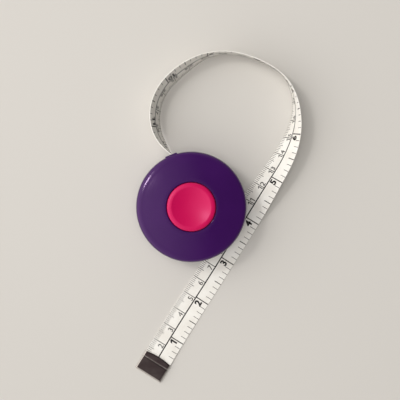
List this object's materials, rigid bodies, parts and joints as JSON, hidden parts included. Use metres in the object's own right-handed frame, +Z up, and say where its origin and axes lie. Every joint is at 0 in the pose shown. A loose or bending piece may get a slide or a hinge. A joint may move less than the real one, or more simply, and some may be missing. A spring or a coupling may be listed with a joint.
{
  "type": "tape measure",
  "caption": "Round spring-return cloth tape measure: split glossy case with a dished centre release button, the tape drawn out in a standing loop and lying flat to a folded metal end clip",
  "frame": {"origin": "middle of the case's flat base, on the surface it stands on", "axes": "+Z up along the case's axis and the reel's axis; the tape leaves the case towards +Y and ends towards -Y"},
  "size_m": [0.0878, 0.1774, 0.0253],
  "materials": {
    "case_plastic": "glossy purple",
    "button_plastic": "glossy pink",
    "tape_cloth": "coated cloth, printed scale",
    "clip_metal": "dark nickel",
    "reel_plastic": "ivory",
    "spring_steel": "bright",
    "inner_plastic": "grey",
    "lining_rubber": "matte"
  },
  "bodies": {
    "case": {"front_cover": "case_plastic", "rear_cover": "case_plastic", "spring_arbor": "inner_plastic", "mainspring": "spring_steel", "button_spring": "spring_steel", "tape_free": "tape_cloth", "end_clip": "clip_metal"},
    "reel": {"reel_drum": "reel_plastic", "reel_upper_flange": "reel_plastic", "brake_track": "spring_steel", "spring_cover": "inner_plastic", "tape_anchor": "spring_steel", "tape_coil": "tape_cloth"},
    "button": {"release_button": "button_plastic", "brake_disc": "inner_plastic", "brake_lining": "lining_rubber"}
  },
  "joints": [
    {"name": "reel_spin", "type": "hinge", "parent": "case", "child": "reel", "pos_m": [0, 0, 0.012], "axis": [0, 0, 1], "range_deg": [-680, 3240], "stiffness_Nm_per_rad": 0.00045, "springref_deg": -2864.79},
    {"name": "button_press", "type": "slide", "parent": "case", "child": "button", "axis": [0, 0, -1], "range_m": [0, 0.0015], "stiffness_N_per_m": 800, "springref_m": -0.002, "deforming": ["button_spring"]}
  ]
}
